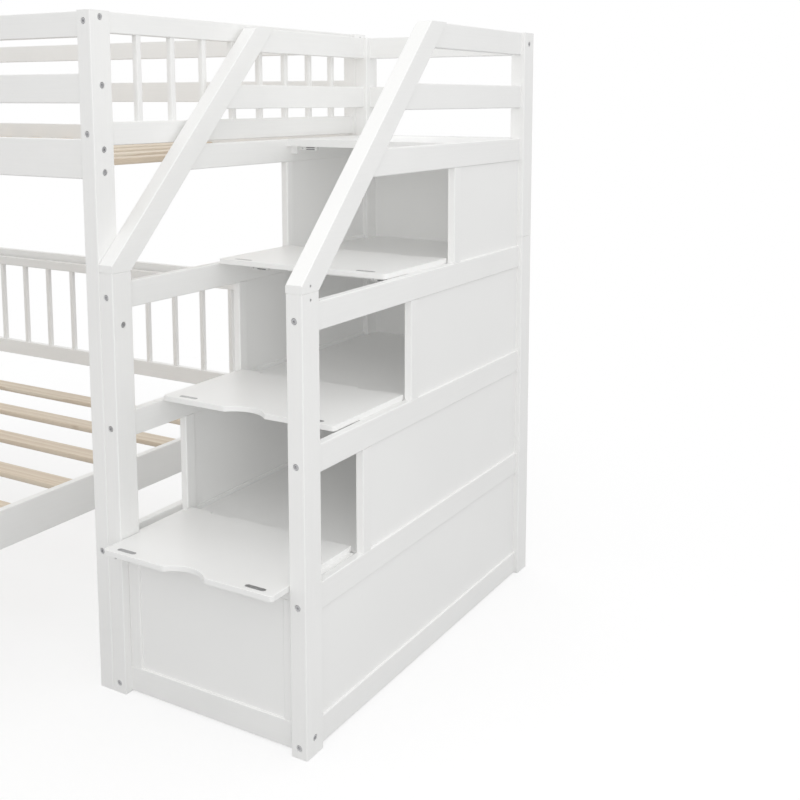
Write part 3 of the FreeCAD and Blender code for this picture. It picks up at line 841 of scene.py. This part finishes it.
def zinc_steel(name):
    """Zinc-plated steel, brushed and a little blotched."""
    brush_stretch = 0.08
    brush_scale = 2600.0
    brush_detail = 2.0
    brush_depth = 0.00004
    blotch_scale = 160.0
    blotch_detail = 2.0
    blotch_share = 0.18
    dull_stop = 0.3
    clean_stop = 0.7
    smooth_gloss = 0.3
    rough_gloss = 0.5
    relief_strength = 0.2
    look = bpy.context.scene.bunk_fasteners
    material, tree, shader = new_material(name)
    place = add_place(tree)
    brushed = add_noise(tree, add_scale(tree, place, (brush_stretch, 1.0, 1.0)), brush_scale, brush_detail)
    blotch = add_noise(tree, place, blotch_scale, blotch_detail)
    colour = add_ramp(tree, blotch, (dull_stop, darker(look.steel, blotch_share)), (clean_stop, look.steel))
    add_finish(tree, shader, colour, add_range(tree, brushed, smooth_gloss, rough_gloss))
    add_relief(tree, shader, brushed, relief_strength, brush_depth)
    shader.inputs["Metallic"].default_value = 1.0
    return material


def moulded_plastic(name):
    """The catches' pale plastic, with a fine spark-eroded texture."""
    texture_scale = 1800.0
    texture_detail = 2.0
    texture_depth = 0.00006
    shade_share = 0.04
    dull_stop = 0.3
    clean_stop = 0.7
    smooth_gloss = 0.42
    rough_gloss = 0.56
    relief_strength = 0.3
    look = bpy.context.scene.bunk_catches
    material, tree, shader = new_material(name)
    texture = add_noise(tree, add_place(tree), texture_scale, texture_detail)
    shaded = darker(look.housing, shade_share)
    colour = add_ramp(tree, texture, (dull_stop, shaded), (clean_stop, look.housing))
    add_finish(tree, shader, colour, add_range(tree, texture, smooth_gloss, rough_gloss))
    add_relief(tree, shader, texture, relief_strength, texture_depth)
    return material


def pole_steel(name):
    """The dark steel of the catches' pole pieces."""
    wear_scale = 700.0
    wear_detail = 3.0
    worn_times = 1.8
    dark_stop = 0.35
    worn_stop = 0.75
    smooth_gloss = 0.35
    rough_gloss = 0.55
    metal_share = 0.8
    look = bpy.context.scene.bunk_catches
    material, tree, shader = new_material(name)
    wear = add_noise(tree, add_place(tree), wear_scale, wear_detail)
    colour = add_ramp(tree, wear, (dark_stop, look.pole), (worn_stop, paler(look.pole, worn_times)))
    add_finish(tree, shader, colour, add_range(tree, wear, smooth_gloss, rough_gloss))
    shader.inputs["Metallic"].default_value = metal_share
    return material


def ready(name, make, *arguments):
    """The material of that name, made when it is first asked for."""
    return bpy.data.materials.get(name) or make(name, *arguments)


def pine_along(axis):
    return ready("pine_along_" + axis.lower(), bare_pine, GRAIN_TURNS[axis])


def paint_along(axis):
    return ready("paint_along_" + axis.lower(), timber_paint, GRAIN_TURNS[axis])


def steel():
    return ready("zinc_steel", zinc_steel)


# Operators


def give_material(node, material):
    materials = frame["nodes"][node].data.materials
    materials.clear()
    materials.append(material)


class BUNKBED_OT_paint_timber(bpy.types.Operator):
    """Paint the timber along its grain, and the flat boards smooth"""

    bl_idname = "bunk_bed.paint_timber"
    bl_label = "Paint Timber"

    def execute(self, context):
        slots = {part["node"]: part["material_slot"] for part in frame["record"]["subparts"]}
        for node, slot in slots.items():
            low, high = boxes(node)[0]
            axis = AXES[long_axis(low, high)]
            if slot == "steel":
                give_material(node, steel())
            elif slot == "pine":
                give_material(node, pine_along(axis))
            elif node.endswith(SHEET_ENDINGS):
                give_material(node, ready("sheet_paint", sheet_paint))
            elif node.endswith("_handrail"):
                rise = math.atan2(high.z - low.z, high.y - low.y)
                turn = (rise, 0.0, math.pi / 2)
                give_material(node, ready("paint_along_handrail", timber_paint, turn))
            else:
                give_material(node, paint_along(axis))
        return {"FINISHED"}


def row_of_bars(name, node, tree, material, seed):
    """Makes a row of equal bars in place of a node, where the node's own solids are."""
    row = boxes(node)
    low, high = row[0]
    size = high - low
    along = long_axis(low, high)
    first = (low + high) / 2
    last = (row[-1][0] + row[-1][1]) / 2
    piece = piece_from_tree(name, tree, {
        "Count": len(row), "First": list(first), "Step": list((last - first) / (len(row) - 1)),
        "Turn": list(BAR_TURNS[along]), "Length": size[along], "Width": size[BAR_WIDTH_AXES[along]],
        "Thickness": size[BAR_THICKNESS_AXES[along]],
        "Edge Radius": bpy.context.scene.bunk_pine.edge_radius, "Seed": seed, "Material": material,
    })
    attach(piece, body_of_node(node))
    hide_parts(node)


class BUNKBED_OT_slats(bpy.types.Operator):
    """Lay the pine slats of both beds"""

    bl_idname = "bunk_bed.slats"
    bl_label = "Slats"

    def execute(self, context):
        tree = bar_row_tree()
        seed = context.scene.bunk_pine.seed
        row_of_bars("upper_slat_boards", "upper_slats", tree, pine_along("Y"), seed)
        row_of_bars("lower_slat_boards", "lower_slats", tree, pine_along("X"), seed + 1)
        return {"FINISHED"}


class BUNKBED_OT_spindles(bpy.types.Operator):
    """Set the painted spindles of the ends and the headboard"""

    bl_idname = "bunk_bed.spindles"
    bl_label = "Spindles"

    def execute(self, context):
        tree = bar_row_tree()
        for node in SPINDLE_NODES:
            row_of_bars(node + "_row", node, tree, paint_along("Z"), 0)
        return {"FINISHED"}


def bolt_places(node):
    """Each bolt's head, the way it faces, its radius and its whole length."""
    places = []
    for points in islands(node):
        low, high = corners(points)
        along = long_axis(low, high)
        middle = (low + high) / 2
        off_axis = []
        for point in points:
            away = point - middle
            away[along] = 0.0
            off_axis.append((away.length, point[along]))
        radius = max(reach for reach, at in off_axis)
        rim = [at for reach, at in off_axis if reach > radius * RIM_SHARE]
        forward = sum(rim) / len(rim) > middle[along]
        outward = Vector((0.0, 0.0, 0.0))
        outward[along] = 1.0 if forward else -1.0
        head = middle.copy()
        head[along] = high[along] if forward else low[along]
        places.append((head, outward, radius, high[along] - low[along]))
    return places


def socket_heads(name, places, radius, height, length, sides):
    """Bolts or screws of one size at places of (point, direction)."""
    look = bpy.context.scene.bunk_fasteners
    tree = bpy.data.node_groups.get("socket_heads") or socket_head_tree()
    return piece_from_tree(name, tree, {
        "Head Radius": radius, "Head Height": height, "Chamfer": min(radius * look.chamfer, height / 2),
        "Socket Radius": radius * look.socket, "Socket Depth": height * SOCKET_DEPTH_SHARE,
        "Socket Sides": sides, "Shank Radius": radius * SHANK_SHARE, "Shank Length": length,
        "Seed": look.seed, "Material": steel(),
    }, points_mesh(name, places))


def small_screws(name, places):
    """The screws of plates, hinges and catches."""
    look = bpy.context.scene.bunk_fasteners
    return socket_heads(
        name, places, look.screw_radius, look.screw_height, look.screw_length, SCREW_SOCKET_SIDES,
    )


class BUNKBED_OT_bolts(bpy.types.Operator):
    """Put the socket-head bolts in their holes"""

    bl_idname = "bunk_bed.bolts"
    bl_label = "Bolts"

    def execute(self, context):
        look = context.scene.bunk_fasteners
        groups = {}
        for head, outward, radius, length in bolt_places("assembly_bolts"):
            size = (round(radius, KEPT_DIGITS), round(length, KEPT_DIGITS))
            groups.setdefault(size, []).append((head, outward))
        for index, ((radius, length), places) in enumerate(sorted(groups.items())):
            height = min(look.head_height, radius * HEAD_HEIGHT_SHARE)
            name = "socket_bolts_%d" % (index + 1)
            piece = socket_heads(name, places, radius, height, length - height, BOLT_SOCKET_SIDES)
            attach(piece, "frame")
            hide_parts("assembly_bolts")
        return {"FINISHED"}


class BUNKBED_OT_strike_plates(bpy.types.Operator):
    """Let the steel strike plates and their screws into the lids"""

    bl_idname = "bunk_bed.strike_plates"
    bl_label = "Strike Plates"

    def execute(self, context):
        look = context.scene.bunk_fasteners
        tree = strike_plate_tree()
        for body, ordinal in LIDS.items():
            node = ordinal + "_lid_plates"
            plates = boxes(node)
            size = plates[0][1] - plates[0][0]
            spread = size.x - size.y
            tops = []
            screws = []
            for low, high in plates:
                top = Vector(((low.x + high.x) / 2, (low.y + high.y) / 2, high.z))
                tops.append((top, UP))
                for side in (-1, 1):
                    screws.append((top + Vector((side * spread / 2, 0.0, 0.0)), UP))
            piece = piece_from_tree(ordinal + "_lid_strike_plates", tree, {
                "Length": size.x, "Width": size.y, "Thickness": size.z,
                "Hole Radius": look.screw_radius * PLATE_HOLE_SHARE, "Hole Spread": spread,
                "Material": steel(),
            }, points_mesh(node + "_tops", tops))
            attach(piece, body)
            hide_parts(node)
            heads = small_screws(ordinal + "_lid_plate_screws", screws)
            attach(heads, body)
        return {"FINISHED"}


class BUNKBED_OT_hinge_screws(bpy.types.Operator):
    """Screw the fixed hinge leaves to their rails"""

    bl_idname = "bunk_bed.hinge_screws"
    bl_label = "Hinge Screws"

    def execute(self, context):
        look = context.scene.bunk_fasteners
        places = []
        pins = [(low + high) / 2 for low, high in boxes("hinge_pins")]
        for points in islands("fixed_hinge_leaves"):
            low, high = corners(points)
            middle = (low + high) / 2
            pin = min(pins, key=lambda centre: (centre - middle).length)
            knuckle_radius = high.z - pin.z
            leaf_z = (low.z + pin.z - knuckle_radius) / 2
            face_y = min(point.y for point in points if point.z < leaf_z)
            for share in LEAF_SCREW_SHARES:
                screw_x = low.x + (high.x - low.x) * share
                places.append((Vector((screw_x, face_y - look.screw_height / 2, leaf_z)), FORWARD))
        piece = small_screws("hinge_leaf_screws", places)
        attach(piece, "frame")
        return {"FINISHED"}


def add_block(mesh, low, high, rounding, material_index):
    """Adds a block with rounded edges to a mesh that is being made."""
    before = set(mesh.faces)
    verts = bmesh.ops.create_cube(mesh, size=1.0)["verts"]
    for vert in verts:
        vert.co = Vector([high[axis] if vert.co[axis] > 0 else low[axis] for axis in range(3)])
    edges = list({edge for vert in verts for edge in vert.link_edges})
    bmesh.ops.bevel(
        mesh, geom=edges, offset=rounding, segments=BLOCK_EDGE_SEGMENTS, profile=0.5, affect="EDGES",
    )
    for face in set(mesh.faces) - before:
        face.material_index = material_index


def add_catch(mesh, low, high):
    """Adds a housing and its two pole pieces to a mesh; returns the place of its screw."""
    look = bpy.context.scene.bunk_catches
    face_y = low.y + look.pole_proud
    add_block(mesh, Vector((low.x, face_y, low.z)), high, look.rounding, HOUSING_MATERIAL)
    length = high.x - low.x
    half_pole = look.pole_thickness / 2
    pole_z = low.z + look.pole_height
    pole_end = high.x - length * POLE_END_SHARE
    pole_back = high.y - look.rounding * 2
    for side in (-1, 1):
        centre_z = pole_z + side * (look.pole_gap + look.pole_thickness) / 2
        pole_low = Vector((pole_end - look.pole_length, low.y, centre_z - half_pole))
        pole_high = Vector((pole_end, pole_back, centre_z + half_pole))
        add_block(mesh, pole_low, pole_high, look.pole_thickness * POLE_ROUNDING_SHARE, POLE_MATERIAL)
    screw_proud = bpy.context.scene.bunk_fasteners.screw_height / 2
    return Vector((low.x + length * CATCH_SCREW_SHARE, face_y - screw_proud, pole_z))


class BUNKBED_OT_catches(bpy.types.Operator):
    """Fit the magnetic catches: a moulded housing, two pole pieces and a screw each"""

    bl_idname = "bunk_bed.catches"
    bl_label = "Catches"

    def execute(self, context):
        plastic = ready("moulded_plastic", moulded_plastic)
        poles = ready("pole_steel", pole_steel)
        for node in CATCH_NODES:
            mesh = bmesh.new()
            screws = [(add_catch(mesh, low, high), FORWARD) for low, high in boxes(node)]
            name = node + "_moulded"
            data = bpy.data.meshes.new(name)
            mesh.to_mesh(data)
            mesh.free()
            data.materials.append(plastic)
            data.materials.append(poles)
            piece = bpy.data.objects.new(name, data)
            context.scene.collection.objects.link(piece)
            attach(piece, body_of_node(node))
            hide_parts(node)
            heads = small_screws(node + "_screws", screws)
            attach(heads, body_of_node(node))
        return {"FINISHED"}


def seen_rays(tree):
    """1 for what the camera, a reflection or clear material shows, and 0 for what only gives light."""
    rays = add_node(tree, "ShaderNodeLightPath").outputs
    seen = add_math(tree, "MAXIMUM", rays["Is Camera Ray"], rays["Is Glossy Ray"])
    return add_math(tree, "MAXIMUM", seen, rays["Is Transmission Ray"])


def mix_shaders(tree, share, first, second):
    return add_node(tree, "ShaderNodeMixShader", {0: share, 1: first.outputs[0], 2: second.outputs[0]})


def white_world(strength):
    """Even light from all sides, which the camera and reflections see as plain white."""
    white = (1.0, 1.0, 1.0, 1.0)
    world = bpy.data.worlds.new("studio")
    world.use_nodes = True
    tree = world.node_tree
    tree.nodes.clear()
    light = add_node(tree, "ShaderNodeBackground", {"Color": white, "Strength": strength})
    backdrop = add_node(tree, "ShaderNodeBackground", {"Color": white, "Strength": 1.0})
    mix = mix_shaders(tree, seen_rays(tree), light, backdrop)
    add_node(tree, "ShaderNodeOutputWorld", {"Surface": mix.outputs[0]})
    bpy.context.scene.world = world


def pale_paint(colour, bounce):
    """A floor's paint, lifted towards white, that fades to plain white further out."""
    low, high = cad_box
    half_length = (high.x - low.x) / 2
    material = bpy.data.materials.new("floor_white")
    material.use_nodes = True
    tree = material.node_tree
    tree.nodes.clear()
    distance = add_node(tree, "ShaderNodeVectorMath", {0: add_place(tree)}, operation="LENGTH")
    faded = add_node(
        tree, "ShaderNodeMapRange",
        {"Value": distance.outputs["Value"], "From Min": half_length * FADE_START_SHARE,
         "From Max": half_length * FADE_END_SHARE},
        interpolation_type="SMOOTHSTEP",
    ).outputs["Result"]
    dim = add_node(tree, "ShaderNodeBsdfDiffuse", {"Color": (*bounce, 1.0)})
    plain = add_node(tree, "ShaderNodeBsdfDiffuse", {"Color": (*colour, 1.0)})
    white = add_node(tree, "ShaderNodeEmission", {"Strength": 1.0})
    lifted = add_math(tree, "MULTIPLY_ADD", faded, 1.0 - FLOOR_LIFT, FLOOR_LIFT)
    shown = mix_shaders(tree, lifted, plain, white)
    mix = mix_shaders(tree, seen_rays(tree), dim, shown)
    add_node(tree, "ShaderNodeOutputMaterial", {"Surface": mix.outputs[0]})
    return material


def pale_floor(colour, bounce):
    """A floor that takes the bed's shadow and fades to plain white further out."""
    level = cad_box[0].z - FLOOR_GAP
    outline = [(-1, -1), (1, -1), (1, 1), (-1, 1)]
    mesh = bpy.data.meshes.new("floor")
    mesh.from_pydata(
        [(x * FLOOR_REACH, y * FLOOR_REACH, level) for x, y in outline], [], [range(len(outline))],
    )
    mesh.materials.append(pale_paint(colour, bounce))
    floor = bpy.data.objects.new("floor", mesh)
    bpy.context.scene.collection.objects.link(floor)


def soft_lamp(name, target, away, size, power):
    """A large square lamp that stands away from a point of the bed and faces it."""
    data = bpy.data.lights.new(name, "AREA")
    data.shape = "SQUARE"
    data.size = size
    data.energy = power
    lamp = bpy.data.objects.new(name, data)
    lamp.location = target + away
    lamp.rotation_euler = (-away).to_track_quat("-Z", "Y").to_euler()
    lamp.visible_camera = False
    bpy.context.scene.collection.objects.link(lamp)
    return lamp


def photo_camera(stage):
    """A camera with the photograph's view."""
    data = bpy.data.cameras.new("camera")
    data.lens = stage.lens
    data.sensor_width = SENSOR_WIDTH
    data.shift_y = stage.lens_shift
    camera = bpy.data.objects.new("camera", data)
    camera.location = stage.camera_place
    camera.rotation_euler = (math.pi / 2 - stage.camera_dip, 0.0, stage.camera_turn)
    bpy.context.scene.collection.objects.link(camera)
    return camera


class BUNKBED_OT_stage(bpy.types.Operator):
    """Set up the floor, the light and the camera"""

    bl_idname = "bunk_bed.stage"
    bl_label = "Stage"

    def execute(self, context):
        stage = context.scene.bunk_stage
        white_world(stage.sky)
        pale_floor(stage.floor, stage.floor_bounce)
        bed_middle = (cad_box[0] + cad_box[1]) / 2
        step_low, step_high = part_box("second_tread_lid")
        steps = (step_low + step_high) / 2
        soft_lamp("key_lamp", steps, KEY_LAMP_AWAY, FRONT_LAMP_SIZE, stage.key_lamp)
        fill = soft_lamp("fill_lamp", steps, FILL_LAMP_AWAY, FRONT_LAMP_SIZE, stage.fill_lamp)
        fill.data.use_shadow = False
        soft_lamp("back_lamp", bed_middle, BACK_LAMP_AWAY, BACK_LAMP_SIZE, stage.back_lamp)
        context.scene.camera = photo_camera(stage)
        context.scene.view_settings.view_transform = "Standard"
        return {"FINISHED"}


OPERATORS = (
    BUNKBED_OT_paint_timber,
    BUNKBED_OT_slats,
    BUNKBED_OT_spindles,
    BUNKBED_OT_bolts,
    BUNKBED_OT_strike_plates,
    BUNKBED_OT_hinge_screws,
    BUNKBED_OT_catches,
    BUNKBED_OT_stage,
)


class VIEW3D_PT_bunk_bed(bpy.types.Panel):
    """The bunk bed's steps and their settings"""

    bl_label = "Bunk Bed"
    bl_space_type = "VIEW_3D"
    bl_region_type = "UI"
    bl_category = "Bunk Bed"

    def draw(self, context):
        for operator in OPERATORS:
            self.layout.operator(operator.bl_idname)
        for name, group in SETTINGS.items():
            column = self.layout.column()
            column.label(text=group.__doc__)
            for key in group.__annotations__:
                column.prop(getattr(context.scene, name), key)


CLASSES = (*SETTINGS.values(), *OPERATORS, VIEW3D_PT_bunk_bed)


def register():
    for each in CLASSES:
        bpy.utils.register_class(each)
    for name, group in SETTINGS.items():
        setattr(bpy.types.Scene, name, PointerProperty(type=group))


def unregister():
    for name in SETTINGS:
        delattr(bpy.types.Scene, name)
    for each in reversed(CLASSES):
        bpy.utils.unregister_class(each)


def main():
    register()
    bpy.ops.bunk_bed.paint_timber()
    bpy.ops.bunk_bed.slats()
    bpy.ops.bunk_bed.spindles()
    bpy.ops.bunk_bed.bolts()
    bpy.ops.bunk_bed.strike_plates()
    bpy.ops.bunk_bed.hinge_screws()
    bpy.ops.bunk_bed.catches()
    bpy.ops.bunk_bed.stage()


if __name__ == "__main__":
    main()
